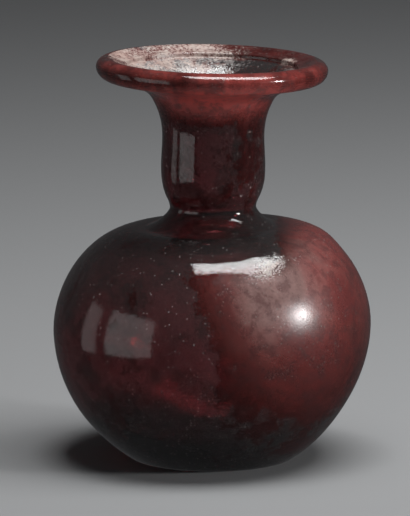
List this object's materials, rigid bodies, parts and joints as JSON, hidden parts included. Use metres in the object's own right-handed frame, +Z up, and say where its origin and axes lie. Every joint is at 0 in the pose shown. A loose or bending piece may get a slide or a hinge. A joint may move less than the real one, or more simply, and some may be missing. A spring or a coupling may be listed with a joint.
{
  "type": "glass perfume flask",
  "caption": "Ancient free-blown glass perfume flask with a squat round body, a pinched neck and a broad folded disc rim, in dark wine-red see-through glass.",
  "frame": {"origin": "middle of the underside of the base, on the surface the flask stands on", "axes": "+Z up through the neck, -Y the side that faces the viewer, +X to the viewer's right"},
  "size_m": [0.072, 0.072, 0.0911],
  "materials": {
    "wine_glass": "clear dark wine-red glass, glossy, with fine pitting and a thin whitish weathering film in patches and on the rim"
  },
  "bodies": {
    "root": {"flask": "wine_glass"}
  },
  "joints": []
}
